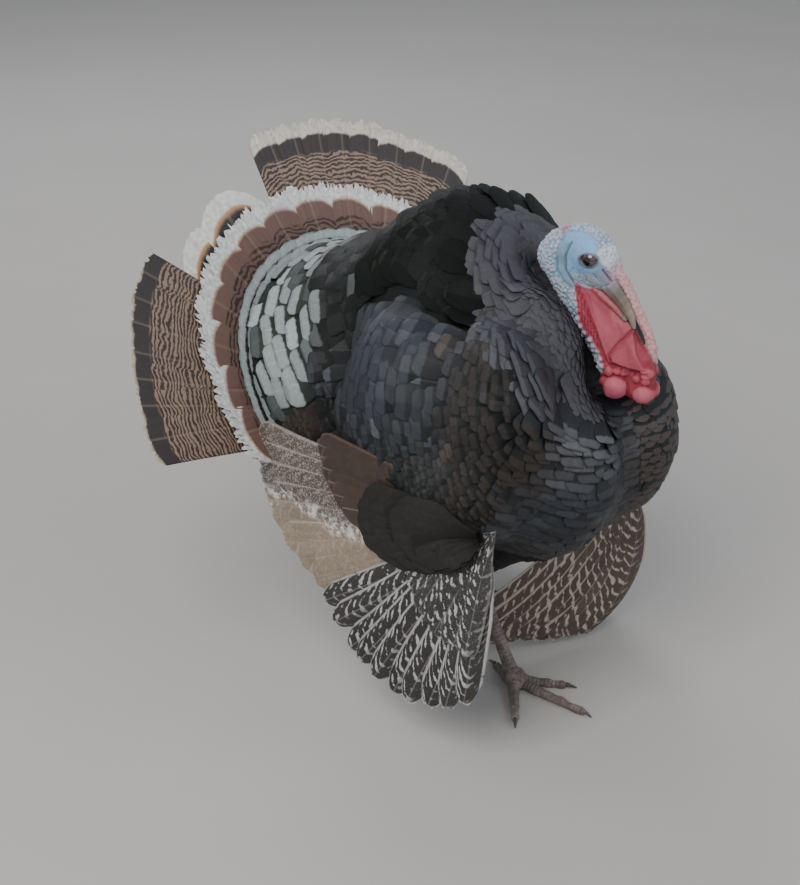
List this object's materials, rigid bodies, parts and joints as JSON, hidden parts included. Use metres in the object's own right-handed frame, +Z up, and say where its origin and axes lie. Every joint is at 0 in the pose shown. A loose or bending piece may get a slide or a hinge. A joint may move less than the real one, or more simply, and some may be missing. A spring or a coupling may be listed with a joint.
{
  "type": "wild turkey",
  "caption": "Life-size still model of a turkey tom in display: raised fan tail, drooped spread wings, full breast, bare blue and red head with snood and wattle.",
  "frame": {"origin": "centre of the bounding box's footprint, on the floor under the soles of the feet", "axes": "+Z up, -Y the way the bird faces, +X towards the bird's left"},
  "size_m": [0.702, 0.5924, 0.5736],
  "materials": {
    "black_plumage": "satin black feathers with a green and bronze sheen",
    "slate_plumage": "slate-blue and black feathers with dark edges",
    "tail_plumage": "buff-brown tail feathers with fine black bars and pale tips",
    "rump_plumage": "black feathers with blunt pale grey-green tips",
    "chestnut_plumage": "chestnut feathers with a white fringe and fine black lines",
    "barred_plumage": "dark quills with white and brown bars",
    "blue_skin": "bare pale blue and white warty skin",
    "red_skin": "bare coral-red wrinkled skin",
    "bill_horn": "matt grey-beige horn",
    "eye": "polished dark brown",
    "leg_scale": "matt grey-brown scales",
    "claw": "dark worn horn"
  },
  "bodies": {
    "root": {"back": "black_plumage", "bill_lower": "bill_horn", "bill_upper": "bill_horn", "breast": "slate_plumage", "caruncles": "red_skin", "claw_hind_left": "claw", "claw_hind_right": "claw", "claw_inner_left": "claw", "claw_inner_right": "claw", "claw_mid_left": "claw", "claw_mid_right": "claw", "claw_outer_left": "claw", "claw_outer_right": "claw", "eye_left": "eye", "eye_right": "eye", "foot_left": "leg_scale", "foot_right": "leg_scale", "head": "blue_skin", "neck_bare": "red_skin", "neck_feathered": "slate_plumage", "primaries_left": "barred_plumage", "primaries_right": "barred_plumage", "rump": "rump_plumage", "secondaries_left": "barred_plumage", "secondaries_right": "barred_plumage", "shank_left": "leg_scale", "shank_right": "leg_scale", "snood": "blue_skin", "spur_left": "claw", "spur_right": "claw", "tail_coverts": "chestnut_plumage", "tail_left": "tail_plumage", "tail_lone": "tail_plumage", "tail_right": "tail_plumage", "tail_top": "tail_plumage", "thigh_left": "black_plumage", "thigh_right": "black_plumage", "trunk": "black_plumage", "undertail": "barred_plumage", "wattle": "red_skin", "wing_left": "slate_plumage", "wing_right": "slate_plumage"}
  },
  "joints": []
}
